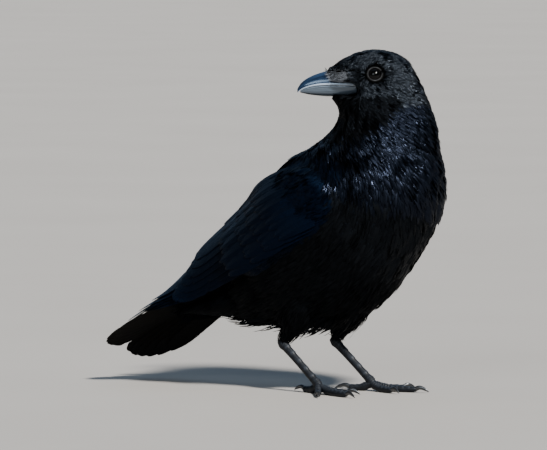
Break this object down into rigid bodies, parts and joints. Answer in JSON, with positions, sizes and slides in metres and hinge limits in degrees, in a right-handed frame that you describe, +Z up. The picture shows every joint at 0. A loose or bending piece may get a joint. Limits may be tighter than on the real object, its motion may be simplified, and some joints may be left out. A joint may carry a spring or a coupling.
{
  "type": "carrion crow",
  "caption": "Life-size standing carrion crow looking back over its right shoulder, wings folded, as a still museum model.",
  "frame": {"origin": "middle of the base of the bird's box, at floor level", "axes": "+X where the trunk heads, +Y towards the bird's left side, +Z up"},
  "size_m": [0.3318, 0.1266, 0.3091],
  "materials": {
    "plumage": "soft black body feathers with a satin blue gloss",
    "flight_feathers": "stiff black wing and tail feathers, glossier and bluer than the body",
    "horn": "satin black horn with fine wear",
    "leg_scales": "dull black scales with paler edges",
    "eye": "wet dark brown eye with a clear front"
  },
  "bodies": {
    "root": {"bill_lower": "horn", "bill_upper": "horn", "claw_left_hind": "horn", "claw_left_inner": "horn", "claw_left_middle": "horn", "claw_left_outer": "horn", "claw_right_hind": "horn", "claw_right_inner": "horn", "claw_right_middle": "horn", "claw_right_outer": "horn", "eye_left": "eye", "eye_right": "eye", "head": "plumage", "neck": "plumage", "shank_left": "leg_scales", "shank_right": "leg_scales", "tail_coverts_under": "plumage", "tail_left_1": "flight_feathers", "tail_left_2": "flight_feathers", "tail_left_3": "flight_feathers", "tail_left_4": "flight_feathers", "tail_left_5": "flight_feathers", "tail_left_6": "flight_feathers", "tail_right_1": "flight_feathers", "tail_right_2": "flight_feathers", "tail_right_3": "flight_feathers", "tail_right_4": "flight_feathers", "tail_right_5": "flight_feathers", "tail_right_6": "flight_feathers", "thigh_left": "plumage", "thigh_right": "plumage", "toe_left_hind": "leg_scales", "toe_left_inner": "leg_scales", "toe_left_middle": "leg_scales", "toe_left_outer": "leg_scales", "toe_right_hind": "leg_scales", "toe_right_inner": "leg_scales", "toe_right_middle": "leg_scales", "toe_right_outer": "leg_scales", "trunk": "plumage", "wing_left_coverts": "flight_feathers", "wing_left_primary_5": "flight_feathers", "wing_left_primary_6": "flight_feathers", "wing_left_primary_7": "flight_feathers", "wing_left_primary_8": "flight_feathers", "wing_left_primary_9": "flight_feathers", "wing_left_secondary_1": "flight_feathers", "wing_left_secondary_2": "flight_feathers", "wing_left_tertial": "flight_feathers", "wing_right_coverts": "flight_feathers", "wing_right_primary_5": "flight_feathers", "wing_right_primary_6": "flight_feathers", "wing_right_primary_7": "flight_feathers", "wing_right_primary_8": "flight_feathers", "wing_right_primary_9": "flight_feathers", "wing_right_secondary_1": "flight_feathers", "wing_right_secondary_2": "flight_feathers", "wing_right_tertial": "flight_feathers"}
  },
  "joints": []
}
